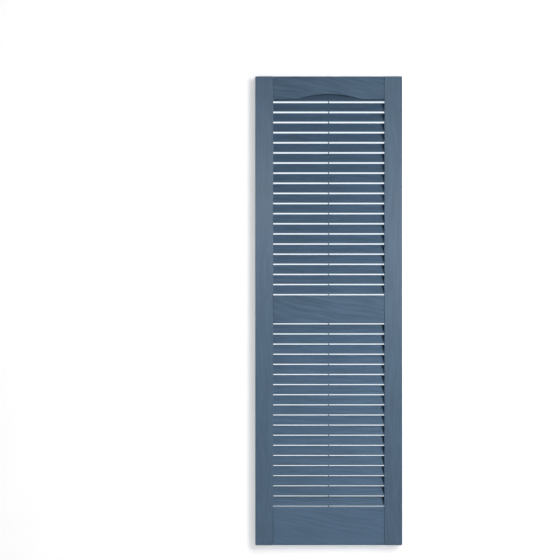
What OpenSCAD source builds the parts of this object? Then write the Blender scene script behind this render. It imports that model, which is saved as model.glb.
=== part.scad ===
// Moulded plastic window shutter with fixed open louvres in two banks, an arched top rail,
// a middle rail and a bottom rail. Millimetres. Z is up, the front faces -Y, the wall is the
// plane y = 0, x = 0 is the middle of the width and z = 0 is the bottom edge.

/* [Overall] */
// Width across both stiles
shutter_w = 368.3; // [300:0.1:480]
// Depth from the wall to the front of the stiles
shutter_d = 28.6; // [27:0.1:40]

/* [Stiles and rails] */
// Width of each stile
stile_w = 45; // [40:0.05:60]
// Height of the bottom rail
bottom_rail_h = 95.5; // [60:0.5:160]
// Height of the middle rail
mid_rail_h = 70.2; // [50:0.1:120]
// Height of the top rail above the straight part of its lower edge
top_rail_h = 56.6; // [52:0.1:110]
// How far the faces of the rails lie behind the faces of the stiles
rail_recess = 2; // [1:0.1:3]
// Open groove between the end of a rail and the stile beside it
joint_groove = 0.5; // [0.3:0.1:2]
// Rounding of the shutter's four outer corners, seen from the front
corner_r = 3; // [1:0.1:5]

/* [Arch] */
// Width of the arch in the lower edge of the top rail, with its eased ends
arch_w = 172; // [120:1:200]
// Rise of the arch above the straight part of the edge
arch_rise = 12.7; // [8:0.1:16]
// Radius that eases each end of the arch into the straight edge
arch_ease_r = 50; // [20:1:80]

/* [Louvres] */
// Number of louvres in the lower bank
louvres_below = 18; // [6:1:24]
// Number of whole louvres in the upper bank, under the one that the top rail half hides
louvres_above = 19; // [6:1:24]
// Distance from each louvre to the next
louvre_pitch = 25.4; // [22:0.1:32]
// Open height between a louvre and the next
louvre_gap = 2.9; // [2:0.1:6]
// Open height between the top of a rail and the lowest louvre above it
sill_gap = 3; // [2:0.1:6]
// Depth of a louvre from its front edge to its back edge
louvre_run = 18; // [14:0.1:19]
// Thickness of a louvre's blade
blade_t = 2.5; // [2:0.1:3]
// How far the louvres' front edges lie behind the faces of the stiles
louvre_recess = 4; // [3.2:0.1:5]
// Height of the half-hidden louvre that shows under the top rail
arch_reveal = 6.2; // [4:0.1:10]
// Width of the upright rib that ties the louvres together behind
rib_w = 2.6; // [1.5:0.1:4]

/* [Moulding] */
// Thickness of the walls
wall = 2.5; // [2:0.1:3]
// Rounding of the long front edges
edge_r = 1.2; // [0.5:0.1:1.8]
// Thickness of the stiffening ribs behind the faces
stiffener_t = 1.8; // [1.2:0.1:2.5]
// Largest distance between the stiffening ribs of a rail
stiffener_gap = 60; // [40:1:90]
// How far the inner members stay off the wall
wall_clearance = 3; // [1:0.1:4]
// Clearance between mouldings that fit together
fit_gap = 0.3; // [0.1:0.05:0.5]
// How far the side strips of the banks hide behind the stiles' inner edges
strip_inset = 0.5; // [0:0.1:1.5]

/* [Screws] */
// Width of the flanges that the stiles are screwed to
lap_w = 16; // [12:0.5:20]
// Height of the screw bosses behind the stiles' faces
boss_h = 8; // [6:0.5:9]
// Diameter of the screw bosses
boss_d = 8; // [6.5:0.1:10]
// Diameter of a screw's shank
shank_d = 2.8; // [2.2:0.1:3.4]
// Diameter of a screw's head
head_d = 7; // [5.5:0.1:8.5]
// Height of a screw's head
head_h = 2.4; // [1.8:0.1:3]
// Screws at each end of a rail
rail_screws = 2; // [2:1:3]
// Screws along each side of a bank
bank_screws = 5; // [3:1:9]

/* [Hidden] */
$fn = 48;

stile_colour = [0.36, 0.43, 0.50];
rail_colour = [0.33, 0.40, 0.48];
louvre_colour = [0.30, 0.37, 0.45];
screw_colour = [0.75, 0.76, 0.78];

// Places across the width, measured out from the middle
stile_out = shutter_w / 2;
stile_in = stile_out - stile_w;
rail_end = stile_in - joint_groove;
strip_in = stile_in + strip_inset;
strip_out = strip_in + wall;
lap_out = strip_out + lap_w;
screw_x = strip_out + lap_w / 2;

// Places through the depth
face_y = -shutter_d;
face_back_y = face_y + wall;
rail_y = face_y + rail_recess;
lap_y = face_back_y + boss_h;
back_y = -wall_clearance;
louvre_y = face_y + louvre_recess;

// Places up the height
lower_z = bottom_rail_h;
mid_z = lower_z + sill_gap + louvres_below * louvre_pitch;
upper_z = mid_z + mid_rail_h;
half_louvre_z = upper_z + sill_gap + louvres_above * louvre_pitch;
top_z = half_louvre_z + arch_reveal;
shutter_h = top_z + top_rail_h;

// A louvre's blade, with a round bead along each edge a little thicker than the blade
bead_proud = 0.1;
blade_h = louvre_pitch - louvre_gap;
bead_r = blade_t / 2 + bead_proud;
heel_y = louvre_run - bead_r;
heel_z = blade_h - bead_r;
blade_tilt = atan2(heel_z - bead_r, heel_y - bead_r);

// Height of the web that closes the upper bank above the half-hidden louvre
web_h = 12;
bank_top_z = half_louvre_z + blade_h + web_h;

// How far an arc dips past a straight edge that it runs out into
run_out = 0.05;

// Where a gusset of the upright rib leaves the blade, as a share of its length
gusset_share = 0.35;

// A screw's hole in the flange and its blind pilot hole in the boss
hole_clearance = 1.2;
pilot_clearance = 0.1;
pilot_floor = 0.4;
hole_d = shank_d + hole_clearance;
pilot_d = shank_d + pilot_clearance;
pilot_h = boss_h - pilot_floor;

// A screw's cone tip, its plain shank and the cross cut in its head
tip_h = 1.6;
tip_d = 1;
shank_h = wall + pilot_h - tip_h - fit_gap;
cross_w = 0.9;
cross_l = head_d / 2;
cross_h = head_h / 2;

// Largest distance from the end of a flange to its first screw
screw_margin = 18;

// Heights between which each member carries a flange for the stiles
bottom_lap = [wall + fit_gap, lower_z];
lower_lap = [lower_z + fit_gap, mid_z - fit_gap];
mid_lap = [mid_z, upper_z];
upper_lap = [upper_z + fit_gap, bank_top_z];
top_lap = [bank_top_z + fit_gap, shutter_h - wall - fit_gap];

// Screw heights between two ends, and the heights halfway between the screws
function margin(ends) = min(screw_margin, (ends[1] - ends[0]) / 4);
function screw_step(ends, count) = (ends[1] - ends[0] - 2 * margin(ends)) / (count - 1);
function screw_heights(ends, count) =
    [for (i = [0 : count - 1]) ends[0] + margin(ends) + i * screw_step(ends, count)];
function heights_between(ends, count) =
    [for (i = [0 : count - 2]) ends[0] + margin(ends) + (i + 0.5) * screw_step(ends, count)];

rail_laps = [bottom_lap, mid_lap, top_lap];
bank_laps = [lower_lap, upper_lap];
all_screw_heights = concat(
    [for (lap = rail_laps) each screw_heights(lap, rail_screws)],
    [for (lap = bank_laps) each screw_heights(lap, bank_screws)]);
stile_rib_heights = concat(
    [for (lap = rail_laps) each heights_between(lap, rail_screws)],
    [for (lap = bank_laps) each heights_between(lap, bank_screws)]);

// Puts a section drawn in (y, z) along x, the same on both sides of the middle
module across(half_length) {
    translate([-half_length, 0, 0])
        rotate([90, 0, 90])
            linear_extrude(height = 2 * half_length)
                children();
}

// Puts an outline drawn in (x, z) upright, from y to y + depth
module upright(y, depth) {
    translate([0, y + depth, 0])
        rotate([90, 0, 0])
            linear_extrude(height = depth)
                children();
}

module both_sides() {
    children();
    mirror([1, 0, 0]) children();
}

module box(low, high) {
    translate(low) cube(high - low);
}

// A rectangle in (y, z) whose front corners are rounded where asked
module front_rounded(y0, z0, y1, z1, round_low, round_high) {
    low = round_low ? edge_r : 0;
    high = round_high ? edge_r : 0;
    translate([y0 + edge_r, z0]) square([y1 - y0 - edge_r, z1 - z0]);
    translate([y0, z0 + low]) square([2 * edge_r, z1 - z0 - low - high]);
    if (round_low) translate([y0 + edge_r, z0 + edge_r]) circle(edge_r);
    if (round_high) translate([y0 + edge_r, z1 - edge_r]) circle(edge_r);
}

// A round hole or bar along y
module rod(x, y, z, diameter, length) {
    translate([x, y + length, z]) rotate([90, 0, 0]) cylinder(d = diameter, h = length);
}

// Flange beside a rail or a bank, with the screws' holes, on the right-hand side
module lap_flange(inner_x, ends, count) {
    difference() {
        box([inner_x, lap_y, ends[0]], [lap_out, lap_y + wall, ends[1]]);
        for (z = screw_heights(ends, count))
            rod(screw_x, lap_y - wall, z, hole_d, 3 * wall);
    }
}

// Stiffening ribs of a rail, at equal distances between its end walls
module rail_stiffeners(z0, z1) {
    bays = ceil(2 * rail_end / stiffener_gap);
    step = 2 * rail_end / bays;
    for (i = [1 : bays - 1])
        box([i * step - rail_end - stiffener_t / 2, rail_y + wall / 2, z0],
            [i * step - rail_end + stiffener_t / 2, back_y, z1]);
}

// End wall and flange at each end of a rail
module rail_ends(z0, z1, lap) {
    both_sides() {
        box([rail_end - wall, rail_y + wall / 2, z0], [rail_end, back_y, z1]);
        lap_flange(rail_end - wall / 2, lap, rail_screws);
    }
}

// Front and outer walls of the right-hand stile, drawn in (x, y)
module stile_section() {
    translate([stile_in + edge_r, face_y]) square([stile_w - 2 * edge_r, wall]);
    translate([stile_in, face_y + edge_r]) square([2 * edge_r, wall - edge_r]);
    translate([stile_out - wall, face_y + edge_r]) square([wall, shutter_d - edge_r]);
    translate([stile_in + edge_r, face_y + edge_r]) circle(edge_r);
    translate([stile_out - edge_r, face_y + edge_r]) circle(edge_r);
}

// What the rounding takes off the lower outer corner, drawn in (x, z)
module corner_waste() {
    inset = corner_r - run_out;
    difference() {
        translate([stile_out - inset, -inset]) square(2 * inset);
        translate([stile_out - inset, inset]) circle(corner_r);
    }
}

// Right-hand stile: an open-backed channel that laps over the rails and the banks
module stile() {
    difference() {
        union() {
            linear_extrude(height = shutter_h) stile_section();
            for (z = [0, shutter_h - wall])
                box([stile_in, face_y + wall / 2, z], [stile_out - wall / 2, 0, z + wall]);
        }
        upright(face_y - wall, shutter_d + 2 * wall) {
            corner_waste();
            translate([0, shutter_h]) mirror([0, 1]) corner_waste();
        }
    }
    for (z = stile_rib_heights)
        stile_rib(z);
    difference() {
        for (z = all_screw_heights)
            rod(screw_x, face_back_y - wall / 2, z, boss_d, boss_h + wall / 2);
        for (z = all_screw_heights)
            rod(screw_x, lap_y - pilot_h, z, pilot_d, pilot_h + wall);
    }
}

// Cross rib of a stile: shallow over the flanges and full depth beside them
module stile_rib(z) {
    z0 = z - stiffener_t / 2;
    box([strip_out + fit_gap, face_back_y - wall / 2, z0],
        [stile_out - wall / 2, lap_y - fit_gap, z0 + stiffener_t]);
    box([lap_out + fit_gap, face_back_y - wall / 2, z0],
        [stile_out - wall / 2, back_y, z0 + stiffener_t]);
}

module left_stile() {
    color(stile_colour) mirror([1, 0, 0]) stile();
}

module right_stile() {
    color(stile_colour) stile();
}

module bottom_rail() {
    color(rail_colour) {
        across(rail_end) difference() {
            front_rounded(rail_y, 0, 0, lower_z, false, true);
            translate([rail_y + wall, wall]) square([shutter_d, lower_z - 2 * wall]);
            translate([back_y, wall]) square([shutter_d, lower_z]);
        }
        rail_stiffeners(wall / 2, lower_z - wall / 2);
        rail_ends(wall / 2, lower_z - wall / 2, bottom_lap);
    }
}

module mid_rail() {
    color(rail_colour) {
        across(rail_end) difference() {
            front_rounded(rail_y, mid_z, back_y, upper_z, true, true);
            translate([rail_y + wall, mid_z + wall]) square([shutter_d, mid_rail_h - 2 * wall]);
        }
        rail_stiffeners(mid_z + wall / 2, upper_z - wall / 2);
        rail_ends(mid_z + wall / 2, upper_z - wall / 2, mid_lap);
    }
}

// The opening of the arch above the straight edge: one long arc, eased at both ends
module arch_opening() {
    half_w = arch_w / 2;
    radii = (half_w * half_w + arch_rise * arch_rise) / (2 * arch_rise);
    arc_r = radii - arch_ease_r;
    meet_x = half_w * arc_r / radii;
    translate([0, top_z]) {
        intersection() {
            translate([0, arch_rise - arc_r]) circle(arc_r, $fn = 180);
            translate([-meet_x, 0]) square([2 * meet_x, 2 * arch_rise]);
        }
        both_sides() difference() {
            translate([meet_x, 0]) square([half_w - meet_x, arch_ease_r / 2]);
            translate([half_w, arch_ease_r - run_out]) circle(arch_ease_r, $fn = 180);
        }
        translate([-half_w, -wall]) square([arch_w, wall]);
    }
}

module top_rail() {
    ledge_z = top_lap[0];
    color(rail_colour) {
        across(rail_end) difference() {
            front_rounded(rail_y, ledge_z, 0, shutter_h, false, true);
            translate([rail_y + wall, ledge_z + wall])
                square([shutter_d, shutter_h - ledge_z - 2 * wall]);
            translate([back_y, ledge_z - wall])
                square([shutter_d, shutter_h - ledge_z]);
        }
        upright(rail_y, wall) difference() {
            translate([-rail_end, top_z]) square([2 * rail_end, ledge_z + wall - top_z]);
            arch_opening();
        }
        rail_stiffeners(ledge_z + wall / 2, shutter_h - wall / 2);
        rail_ends(ledge_z + wall / 2, shutter_h - wall / 2, top_lap);
    }
}

// Section of a louvre in (y, z), with its front edge low and its back edge high
module blade(z) {
    translate([louvre_y, z]) {
        translate([bead_r, bead_r]) {
            circle(bead_r);
            rotate(blade_tilt)
                translate([0, -blade_t / 2])
                    square([norm([heel_y - bead_r, heel_z - bead_r]), blade_t]);
        }
        translate([heel_y, heel_z]) circle(bead_r);
    }
}

// Section in (y, z) of the rib's gusset, under the blade
module gusset(z) {
    start_y = bead_r + gusset_share * (heel_y - bead_r);
    start_z = bead_r + gusset_share * (heel_z - bead_r);
    translate([0, z])
        polygon([[louvre_y + start_y, start_z], [louvre_y + heel_y, heel_z],
                 [back_y, heel_z], [back_y, start_z]]);
}

// A bank of louvres between its side strips, tied by the upright rib
module louvre_bank(lap, first_z, count) {
    for (i = [0 : count - 1]) {
        across(strip_in + wall / 2) blade(first_z + i * louvre_pitch);
        across(rib_w / 2) gusset(first_z + i * louvre_pitch);
    }
    box([-rib_w / 2, louvre_y + heel_y, lap[0]], [rib_w / 2, back_y, lap[1]]);
    both_sides() {
        box([strip_in, face_back_y + fit_gap, lap[0]], [strip_out, back_y, lap[1]]);
        lap_flange(strip_out - wall / 2, lap, bank_screws);
    }
}

module lower_louvre_bank() {
    color(louvre_colour) louvre_bank(lower_lap, lower_z + sill_gap, louvres_below);
}

module upper_louvre_bank() {
    web_y = louvre_y + heel_y - blade_t / 2;
    color(louvre_colour) {
        louvre_bank(upper_lap, upper_z + sill_gap, louvres_above + 1);
        box([-strip_in - wall / 2, web_y, half_louvre_z + heel_z],
            [strip_in + wall / 2, web_y + blade_t, bank_top_z]);
    }
}

// Pan-headed screw driven from behind, its head on the flange and its tip towards the face
module joint_screw(x, z) {
    head_r = head_d / 2;
    dome_r = (head_r * head_r + head_h * head_h) / (2 * head_h);
    translate([x, lap_y + wall, z]) rotate([-90, 0, 0]) {
        difference() {
            intersection() {
                translate([0, 0, head_h - dome_r]) sphere(dome_r);
                cylinder(d = head_d, h = head_h);
            }
            for (turn = [0, 90])
                rotate(turn)
                    translate([-cross_l / 2, -cross_w / 2, head_h - cross_h])
                        cube([cross_l, cross_w, cross_h]);
        }
        translate([0, 0, -shank_h]) cylinder(d = shank_d, h = shank_h + head_h / 4);
        translate([0, 0, -shank_h - tip_h]) cylinder(d1 = tip_d, d2 = shank_d, h = tip_h);
    }
}

module joint_screws() {
    color(screw_colour) both_sides()
        for (z = all_screw_heights)
            joint_screw(screw_x, z);
}

left_stile();
right_stile();
bottom_rail();
mid_rail();
top_rail();
lower_louvre_bank();
upper_louvre_bank();
joint_screws();
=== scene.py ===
"""A moulded plastic louvred shutter, dressed and lit for a straight front view.

Metres. Z is up, the front faces -Y and the back of the shutter lies at y = 0.
"""

import math

import bpy
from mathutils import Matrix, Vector


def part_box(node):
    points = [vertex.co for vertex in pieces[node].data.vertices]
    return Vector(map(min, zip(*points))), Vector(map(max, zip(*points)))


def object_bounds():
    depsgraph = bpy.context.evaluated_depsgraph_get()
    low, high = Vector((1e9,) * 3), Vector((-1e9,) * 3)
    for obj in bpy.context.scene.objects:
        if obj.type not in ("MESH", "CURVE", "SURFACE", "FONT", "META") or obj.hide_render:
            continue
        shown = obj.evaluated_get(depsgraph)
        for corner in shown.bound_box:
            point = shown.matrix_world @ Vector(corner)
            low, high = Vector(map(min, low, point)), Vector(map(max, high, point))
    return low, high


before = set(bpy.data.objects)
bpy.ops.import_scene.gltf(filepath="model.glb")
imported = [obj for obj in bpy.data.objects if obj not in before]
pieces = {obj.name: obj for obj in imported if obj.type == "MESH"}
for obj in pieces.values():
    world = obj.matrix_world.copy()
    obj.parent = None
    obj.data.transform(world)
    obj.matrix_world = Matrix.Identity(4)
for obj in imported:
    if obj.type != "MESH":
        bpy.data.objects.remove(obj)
cad_low, cad_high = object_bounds()

MM = 0.001

# Where the shutter stands in the photograph, in pixels of its square frame:
# its width, the column of its middle and the row of its foot
PHOTO_PX = 560
SHUTTER_PX = 147.12
MIDDLE_PX = 328.78
FOOT_PX = 545.33

# The camera, level and square to the front
CAMERA_DISTANCE = 6.0
SENSOR_MM = 36


def place_camera():
    """Sees the shutter in the size and the place that it has in the photograph."""
    metres_per_px = (cad_high.x - cad_low.x) / SHUTTER_PX
    data = bpy.data.cameras.new("camera")
    data.sensor_width = SENSOR_MM
    data.lens = SENSOR_MM * CAMERA_DISTANCE / (PHOTO_PX * metres_per_px)
    camera = bpy.data.objects.new("camera", data)
    camera.location = (
        (PHOTO_PX / 2 - MIDDLE_PX) * metres_per_px,
        cad_low.y - CAMERA_DISTANCE,
        (FOOT_PX - PHOTO_PX / 2) * metres_per_px,
    )
    camera.rotation_euler = (math.radians(90), 0, 0)
    bpy.context.scene.collection.objects.link(camera)
    bpy.context.scene.camera = camera


class Nodes:
    """Adds nodes to a material or a world and links them."""

    def __init__(self, owner):
        owner.use_nodes = True
        self.tree = owner.node_tree
        self.tree.nodes.clear()

    def add(self, kind, inputs=None, **settings):
        node = self.tree.nodes.new(kind)
        for name, value in settings.items():
            setattr(node, name, value)
        for name, value in (inputs or {}).items():
            self.join(value, node.inputs[name])
        return node

    def join(self, value, socket):
        """Links an output to the socket, or sets the socket to a plain value."""
        if isinstance(value, bpy.types.NodeSocket):
            self.tree.links.new(value, socket)
        else:
            socket.default_value = value

    def math(self, operation, a, b):
        node = self.add("ShaderNodeMath", operation=operation)
        self.join(a, node.inputs[0])
        self.join(b, node.inputs[1])
        return node.outputs[0]

    def plus(self, a, b):
        return self.math("ADD", a, b)

    def times(self, a, b):
        return self.math("MULTIPLY", a, b)

    def noise(self, vector, scale, detail, roughness=0.5):
        node = self.add(
            "ShaderNodeTexNoise",
            {"Vector": vector, "Scale": scale, "Detail": detail, "Roughness": roughness},
        )
        return node.outputs["Fac"]

    def vector(self, x, y, z):
        return self.add("ShaderNodeCombineXYZ", {"X": x, "Y": y, "Z": z}).outputs[0]

    def ranged(self, value, low, high, start=0.0, end=1.0):
        """Turns a value that runs from start to end into one that runs from low to high."""
        node = self.add(
            "ShaderNodeMapRange",
            {"Value": value, "From Min": start, "From Max": end, "To Min": low, "To Max": high},
        )
        return node.outputs[0]

    def mix(self, factor, first, second):
        node = self.add("ShaderNodeMix", data_type="RGBA")
        self.join(factor, node.inputs["Factor"])
        self.join(first, node.inputs["A"])
        self.join(second, node.inputs["B"])
        return node.outputs["Result"]

    def mix_shaders(self, factor, first, second):
        node = self.add("ShaderNodeMixShader", {"Fac": factor})
        self.join(first, node.inputs[1])
        self.join(second, node.inputs[2])
        return node.outputs[0]

    def add_shaders(self, first, second):
        node = self.add("ShaderNodeAddShader")
        self.join(first, node.inputs[0])
        self.join(second, node.inputs[1])
        return node.outputs[0]


def grey(level):
    return (level, level, level, 1.0)


def linear(red, green, blue):
    """An sRGB colour of 0 to 255 as a linear RGBA tuple."""

    def one(value):
        value /= 255
        return value / 12.92 if value <= 0.04045 else ((value + 0.055) / 1.055) ** 2.4

    return (one(red), one(green), one(blue), 1.0)


def scaled(colour, factor):
    return tuple(min(1.0, channel * factor) for channel in colour[:3]) + (1.0,)


# How fine each noise of the grain is across it. Broad bands hold streaks, and those hold pores
BAND_SCALE = 150.0
STREAK_SCALE = 500.0
PORE_SCALE = 1800.0
MOTTLE_SCALE = 14.0

# How much each counts: the first three in the relief, and the mottle beside it in the shade
BAND_WEIGHT = 0.6
STREAK_WEIGHT = 0.3
PORE_WEIGHT = 0.1
MOTTLE_WEIGHT = 0.15

# How fine the bands, the streaks and the pores are along the grain, as a share of across it
STREAK_STRETCH = 0.06
PORE_STRETCH = 0.12

# The slow wandering of the grain: its reach, and its fineness along and across the grain
SWAY = 40 * MM
SWAY_ALONG = 6.0
SWAY_ACROSS = 8.0

# The part of the noise's range that runs from the darkest to the lightest shade
SHADE_START = 0.35
SHADE_END = 0.65

BUMP_STRENGTH = 0.6
EDGE_SAMPLES = 8

# How far a streak makes the surface smoother or rougher
SMOOTHER = 0.04
ROUGHER = 0.06


def grain(n, along, across, slope):
    """The relief, the streaks and the shade of a wood grain, each as a noise.

    along and across name the axes of the grain and slope tilts it, as a drop per length.
    """
    place = n.add("ShaderNodeTexCoord").outputs["Object"]
    axes = n.add("ShaderNodeSeparateXYZ", {"Vector": place}).outputs
    run, rise = axes[along], axes[across]

    sway_place = n.vector(n.times(run, SWAY_ALONG), 0.0, n.times(rise, SWAY_ACROSS))
    sway = n.noise(sway_place, scale=1.0, detail=1.0)
    bent = n.plus(n.plus(rise, n.times(run, slope)), n.times(sway, SWAY))
    streak_place = n.vector(n.times(run, STREAK_STRETCH), bent, axes["Y"])
    pore_place = n.vector(n.times(run, PORE_STRETCH), bent, axes["Y"])

    bands = n.noise(streak_place, BAND_SCALE, detail=2.0)
    streaks = n.noise(streak_place, STREAK_SCALE, detail=2.0, roughness=0.6)
    pores = n.noise(pore_place, PORE_SCALE, detail=1.0)
    mottle = n.noise(place, MOTTLE_SCALE, detail=3.0)

    relief = n.plus(n.times(bands, BAND_WEIGHT), n.times(streaks, STREAK_WEIGHT))
    relief = n.plus(relief, n.times(pores, PORE_WEIGHT))
    shade = n.plus(n.times(relief, 1 - MOTTLE_WEIGHT), n.times(mottle, MOTTLE_WEIGHT))
    return relief, streaks, shade


def grained_plastic(
    name, colour, contrast, roughness, sheen, along="X", across="Z", slope=0.0, rounding=0.0
):
    """Through-coloured plastic moulded with a wood grain.

    contrast is the most that a streak darkens or lightens the colour, as a share of it,
    sheen is the specular level and rounding the radius that softens the edges.
    """
    material = bpy.data.materials.new(name)
    n = Nodes(material)
    relief, streaks, shade = grain(n, along, across, slope)
    lightness = n.ranged(shade, 0.0, 1.0, SHADE_START, SHADE_END)

    bump = n.add(
        "ShaderNodeBump",
        {"Strength": BUMP_STRENGTH, "Distance": contrast * MM, "Height": relief},
    )
    if rounding:
        soft_edges = n.add("ShaderNodeBevel", {"Radius": rounding}, samples=EDGE_SAMPLES)
        n.join(soft_edges.outputs[0], bump.inputs["Normal"])

    shader = n.add(
        "ShaderNodeBsdfPrincipled",
        {
            "Base Color": n.mix(lightness, scaled(colour, 1 - contrast), scaled(colour, 1 + contrast)),
            "Roughness": n.ranged(streaks, roughness - SMOOTHER, roughness + ROUGHER),
            "Specular IOR Level": sheen,
            "Normal": bump.outputs[0],
        },
    )
    n.add("ShaderNodeOutputMaterial", {"Surface": shader.outputs[0]})
    return material


ZINC_DARK = linear(178, 180, 186)
ZINC_LIGHT = linear(214, 213, 206)
STAIN_SCALE = 300.0


def zinc_plate(name):
    """Dull plating with fine stains, for the screws."""
    material = bpy.data.materials.new(name)
    n = Nodes(material)
    place = n.add("ShaderNodeTexCoord").outputs["Object"]
    stain = n.noise(place, STAIN_SCALE, detail=3.0)
    shader = n.add(
        "ShaderNodeBsdfPrincipled",
        {
            "Base Color": n.mix(stain, ZINC_DARK, ZINC_LIGHT),
            "Metallic": 1.0,
            "Roughness": n.ranged(stain, low=0.24, high=0.42),
        },
    )
    n.add("ShaderNodeOutputMaterial", {"Surface": shader.outputs[0]})
    return material


# One plastic in four colours: the rails, the bottom rail and the louvres are lighter than the stiles,
# as painted light that evens out how the lamps fall on each piece
STILE_COLOUR = linear(73, 96, 118)
RAIL_PAINTED_LIGHT_COLOUR = linear(87, 110, 133)
BOTTOM_RAIL_PAINTED_LIGHT_COLOUR = linear(92, 117, 142)
LOUVRE_PAINTED_LIGHT_COLOUR = linear(94, 119, 143)

STILE_ROUNDING = 2.8 * MM
RAIL_GRAIN_SLOPE = 0.2


def dress():
    """Gives each piece its material. The stiles' grain runs upright and all other grain level. The
    rails and the louvres get lighter copies of the stiles' colour, as painted light.
    """
    stile = grained_plastic(
        "stile_grain",
        STILE_COLOUR,
        contrast=0.16,
        roughness=0.42,
        sheen=0.40,
        along="Z",
        across="X",
        rounding=STILE_ROUNDING,
    )
    rail = grained_plastic(
        "rail_painted_light_and_grain",
        RAIL_PAINTED_LIGHT_COLOUR,
        contrast=0.24,
        roughness=0.74,
        sheen=0.25,
        slope=RAIL_GRAIN_SLOPE,
    )
    # The bottom rail's lighter colour is painted light, and its grain is fainter
    painted_light_bottom_rail = grained_plastic(
        "bottom_rail_painted_light_and_grain",
        BOTTOM_RAIL_PAINTED_LIGHT_COLOUR,
        contrast=0.14,
        roughness=0.74,
        sheen=0.25,
        slope=RAIL_GRAIN_SLOPE,
    )
    louvre = grained_plastic(
        "louvre_painted_light_and_grain",
        LOUVRE_PAINTED_LIGHT_COLOUR,
        contrast=0.19,
        roughness=0.55,
        sheen=0.25,
    )
    finishes = {
        "left_stile": stile,
        "right_stile": stile,
        "top_rail": rail,
        "mid_rail": rail,
        "bottom_rail": painted_light_bottom_rail,
        "upper_louvre_bank": louvre,
        "lower_louvre_bank": louvre,
        "joint_screws": zinc_plate("zinc"),
    }
    for piece, material in finishes.items():
        pieces[piece].data.materials.clear()
        pieces[piece].data.materials.append(material)


# The wall behind, the pale floor and the white panel seen through the louvres
WALL_GAP = 4 * MM
PANEL_GAP = 1 * MM
FLOOR_DROP = 0.25
STAGE_REACH = 6.0
FLOOR_REACH = 12.0

# The plain white that the wall and the floor show beside the light of the lamps
WALL_WHITE = 0.45
FLOOR_WHITE = 0.8
PALE = grey(0.98)
PANEL_PALE = grey(0.8)
PANEL_WHITE = (0.87, 0.955, 1.0, 1.0)


def flat_sheet(name, corners, material):
    mesh = bpy.data.meshes.new(name)
    mesh.from_pydata(corners, [], [list(range(len(corners)))])
    sheet = bpy.data.objects.new(name, mesh)
    sheet.data.materials.append(material)
    bpy.context.scene.collection.objects.link(sheet)
    return sheet


def upright_sheet(name, y, left, right, foot, top, material):
    corners = [(left, y, foot), (right, y, foot), (right, y, top), (left, y, top)]
    return flat_sheet(name, corners, material)


def level_sheet(name, z, left, right, near, far, material):
    corners = [(left, near, z), (right, near, z), (right, far, z), (left, far, z)]
    return flat_sheet(name, corners, material)


def one_sided(n, front):
    """Shows the shader on the front of a sheet, and nothing from behind."""
    from_behind = n.add("ShaderNodeNewGeometry").outputs["Backfacing"]
    clear = n.add("ShaderNodeBsdfTransparent").outputs[0]
    n.add("ShaderNodeOutputMaterial", {"Surface": n.mix_shaders(from_behind, front, clear)})


def seen_directly(n):
    """1 on a ray from the camera, straight, mirrored or through glass, and 0 on one that lights."""
    path = n.add("ShaderNodeLightPath").outputs
    straight_or_mirrored = n.plus(path["Is Camera Ray"], path["Is Glossy Ray"])
    return n.math("MINIMUM", n.plus(straight_or_mirrored, path["Is Transmission Ray"]), 1.0)


def pale_surface(name, white):
    """Pale diffuse that keeps shadows, with a plain white of the given strength added."""
    material = bpy.data.materials.new(name)
    n = Nodes(material)
    diffuse = n.add("ShaderNodeBsdfDiffuse", {"Color": PALE}).outputs[0]
    strength = n.times(seen_directly(n), white)
    glow = n.add("ShaderNodeEmission", {"Color": grey(1.0), "Strength": strength}).outputs[0]
    one_sided(n, n.add_shaders(diffuse, glow))
    return material


def plain_white(name):
    """White to the camera and to reflections, and pale diffuse to the lamps."""
    material = bpy.data.materials.new(name)
    n = Nodes(material)
    diffuse = n.add("ShaderNodeBsdfDiffuse", {"Color": PANEL_PALE}).outputs[0]
    glow = n.add("ShaderNodeEmission", {"Color": PANEL_WHITE, "Strength": 1.0}).outputs[0]
    one_sided(n, n.mix_shaders(seen_directly(n), diffuse, glow))
    return material


def build_stage():
    """Builds the wall, the floor and the panel, and gives back the wall."""
    wall_y = cad_high.y + WALL_GAP
    floor_z = cad_low.z - FLOOR_DROP
    sides = (-STAGE_REACH, STAGE_REACH)
    pale_wall = pale_surface("pale_wall", WALL_WHITE)
    pale_floor = pale_surface("pale_floor", FLOOR_WHITE)
    wall = upright_sheet("wall", wall_y, *sides, floor_z, STAGE_REACH, pale_wall)
    level_sheet("floor", floor_z, *sides, -FLOOR_REACH, wall_y, pale_floor)

    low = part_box("lower_louvre_bank")[0]
    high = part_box("upper_louvre_bank")[1]
    panel_y = cad_high.y + PANEL_GAP
    panel_white = plain_white("white_panel")
    upright_sheet("white_panel", panel_y, low.x, high.x, low.z, high.z, panel_white)
    return wall


# The place, the diameter and the power in watts of each lamp. All are round and face the middle
LAMPS = {
    "key": ((1.9, -3.83, 1.6), 1.2, 47),
    "near_right": ((0.5, -0.83, 0.8), 0.12, 3.6),
    "low_front": ((0.5, -1.0, 0.5), 0.15, 6.5),
    "near_left": ((-0.24, -0.83, 0.9), 0.2, 1.5),
    "low_fill": ((-0.75, -1.2, -0.1), 0.4, 3.6),
    "back_fill": ((0.3, 2.0, 1.6), 1.5, 50),
    "wall_wash": ((1.31, -3.6, 2.54), 2.3, 54),
}

# The level of the world's own light
AMBIENT = 0.03


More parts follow.
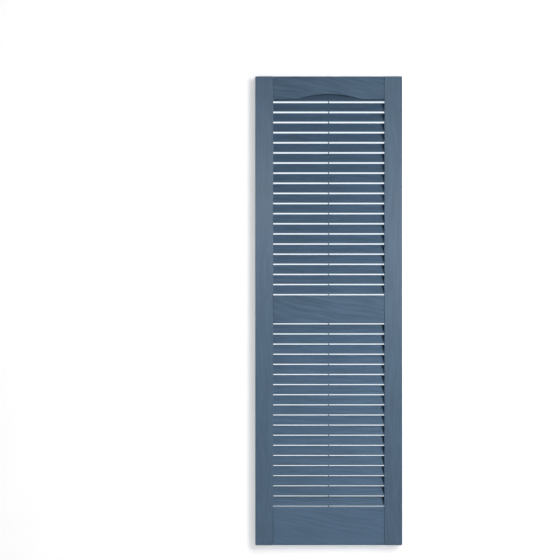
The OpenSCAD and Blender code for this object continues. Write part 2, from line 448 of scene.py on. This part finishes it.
def lamp(name, place, diameter, power):
    data = bpy.data.lights.new(name, "AREA")
    data.shape = "DISK"
    data.size = diameter
    data.energy = power
    middle = (cad_low + cad_high) / 2
    obj = bpy.data.objects.new(name, data)
    obj.location = place
    obj.rotation_euler = (middle - Vector(place)).to_track_quat("-Z", "Y").to_euler()
    bpy.context.scene.collection.objects.link(obj)
    return obj


def link(lamp_object, objects, state="INCLUDE"):
    """Has a lamp light these objects alone, or with EXCLUDE all but them."""
    receivers = bpy.data.collections.new(lamp_object.name + "_link")
    for receiver in objects:
        receivers.objects.link(receiver)
    for member in receivers.collection_objects:
        member.light_linking.link_state = state
    lamp_object.light_linking.receiver_collection = receivers


def light_studio(wall):
    """Lights the shutter with a soft main lamp at the right and weak lamps for single pieces."""
    lamps = {name: lamp(name, *values) for name, values in LAMPS.items()}
    stiles = [pieces["left_stile"], pieces["right_stile"]]
    banks = [pieces["upper_louvre_bank"], pieces["lower_louvre_bank"]]
    frame_pieces = [piece for piece in pieces.values() if piece not in banks]

    # near_right is so near and high that a louvre would lie in the shadow of the one above,
    # so the louvres have a lamp lower down instead
    link(lamps["near_right"], banks, "EXCLUDE")
    link(lamps["low_front"], banks)

    # Two fills from the left. The low one adds no reflection of its own
    link(lamps["near_left"], stiles)
    link(lamps["low_fill"], frame_pieces)
    lamps["low_fill"].visible_glossy = False

    # The wall would keep the light off the back, so only the shutter itself can block it
    back_fill = lamps["back_fill"]
    link(back_fill, pieces.values())
    back_fill.light_linking.blocker_collection = back_fill.light_linking.receiver_collection

    # This one lights the wall alone, which deepens the shutter's shadow on it
    link(lamps["wall_wash"], [wall])


def build_world():
    """A world that is white where it is seen and lights the scene only a little."""
    world = bpy.data.worlds.new("studio")
    bpy.context.scene.world = world
    n = Nodes(world)
    strength = n.ranged(seen_directly(n), AMBIENT, 1.0)
    shade = n.add("ShaderNodeBackground", {"Color": grey(1.0), "Strength": strength})
    n.add("ShaderNodeOutputWorld", {"Surface": shade.outputs[0]})


place_camera()
dress()
light_studio(build_stage())
build_world()

bpy.context.scene.view_settings.view_transform = "Standard"
